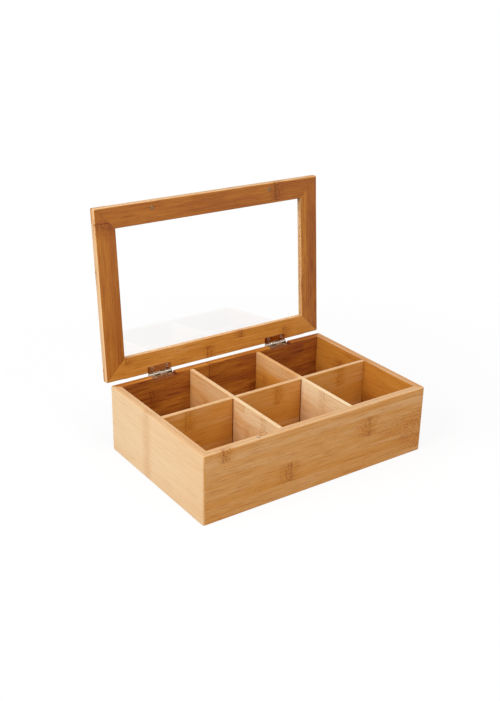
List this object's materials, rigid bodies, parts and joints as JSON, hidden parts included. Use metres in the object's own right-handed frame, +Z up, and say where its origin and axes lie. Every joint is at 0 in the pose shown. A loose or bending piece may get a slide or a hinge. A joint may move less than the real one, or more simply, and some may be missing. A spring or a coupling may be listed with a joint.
{
  "type": "tea bag organizer box",
  "caption": "Bamboo box divided into compartments for tea bags, with a mitred, framed clear window in a lid that stands open on small stop hinges.",
  "frame": {"origin": "middle of the flat underside of the box, on the surface that it stands on", "axes": "+X to the right along the length of the box, +Y to the hinge side at the back, +Z up; the lid is at rest standing open on its hinge stops"},
  "size_m": [0.304, 0.2248, 0.2813],
  "materials": {
    "bamboo_box": "satin lacquer on carbonised bamboo strips",
    "bamboo_divider": "satin lacquer on carbonised bamboo strips",
    "bamboo_lid": "satin lacquer on carbonised bamboo strips",
    "bamboo_key": "satin lacquer, end grain",
    "clear_pane": "polished clear sheet",
    "hinge_steel": "bright nickel-plated pressed steel",
    "screw_steel": "bright nickel-plated steel",
    "magnet_nickel": "nickel-plated disc magnet"
  },
  "bodies": {
    "box": {"front_wall": "bamboo_box", "back_wall": "bamboo_box", "left_wall": "bamboo_box", "right_wall": "bamboo_box", "bottom_panel": "bamboo_box", "long_divider": "bamboo_divider", "left_cross_divider": "bamboo_divider", "right_cross_divider": "bamboo_divider", "left_hinge_box_leaf": "hinge_steel", "left_hinge_pin": "hinge_steel", "right_hinge_box_leaf": "hinge_steel", "right_hinge_pin": "hinge_steel", "box_hinge_screws": "screw_steel", "box_magnets": "magnet_nickel"},
    "lid": {"lid_front_rail": "bamboo_lid", "lid_back_rail": "bamboo_lid", "lid_left_rail": "bamboo_lid", "lid_right_rail": "bamboo_lid", "lid_pane": "clear_pane", "lid_high_keys": "bamboo_key", "lid_low_keys": "bamboo_key", "left_hinge_lid_leaf": "hinge_steel", "right_hinge_lid_leaf": "hinge_steel", "lid_hinge_screws": "screw_steel", "lid_magnets": "magnet_nickel"}
  },
  "joints": [
    {"name": "lid_hinge", "type": "hinge", "parent": "box", "child": "lid", "pos_m": [0, 0.1012, 0.07945], "axis": [1, 0, 0], "range_deg": [0, 94.5]}
  ]
}
